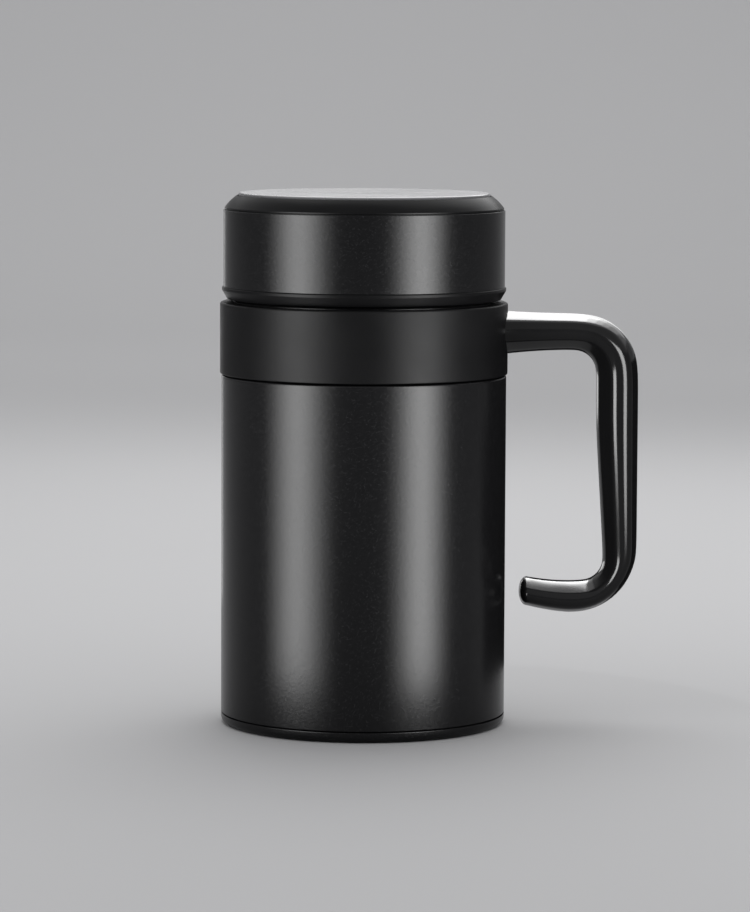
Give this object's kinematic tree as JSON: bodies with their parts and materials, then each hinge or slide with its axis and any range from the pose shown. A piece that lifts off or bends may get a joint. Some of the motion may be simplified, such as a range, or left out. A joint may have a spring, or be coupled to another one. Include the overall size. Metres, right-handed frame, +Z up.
{
  "type": "insulated travel mug",
  "caption": "Insulated steel travel mug with a screw lid topped by a flat steel disc, a matte collar and a C-shaped side handle.",
  "frame": {"origin": "on the mug's axis, at the surface that it stands on", "axes": "+Z up along the mug's axis, +X towards the handle"},
  "size_m": [0.1299, 0.0892, 0.165],
  "materials": {
    "painted_steel": "satin speckled paint",
    "bare_steel": "satin",
    "brushed_steel": "satin",
    "bezel_metal": "polished",
    "screw_steel": "satin",
    "port_seal": "glossy",
    "getter_metal": "matte",
    "collar_plastic": "matte",
    "handle_plastic": "glossy",
    "lid_plastic": "satin",
    "inner_plastic": "satin",
    "foam": "matte",
    "silicone": "matte"
  },
  "bodies": {
    "mug": {"outer_shell": "painted_steel", "inner_liner": "bare_steel", "vacuum_base": "bare_steel", "vacuum_port_seal": "port_seal", "getter": "getter_metal", "base_cover": "painted_steel", "collar": "collar_plastic", "handle": "handle_plastic", "handle_screws": "screw_steel"},
    "lid_seal": {"lid_gasket": "silicone"},
    "lid": {"lid_core": "lid_plastic", "lid_sleeve": "painted_steel", "lid_bezel": "bezel_metal", "lid_disc": "brushed_steel", "lid_foam": "foam", "lid_inner_cover": "inner_plastic"}
  },
  "joints": [
    {"name": "lid_rise", "type": "slide", "parent": "mug", "child": "lid_seal", "axis": [0, 0, 1], "range_m": [0, 0.02]},
    {"name": "lid_turn", "type": "hinge", "parent": "lid_seal", "child": "lid", "pos_m": [0, 0, 0.1455], "axis": [0, 0, 1], "range_deg": [0, 900]}
  ],
  "couplings": [
    {"joint": "lid_rise", "follows": "lid_turn", "m_per_rad": 0.0012732}
  ]
}
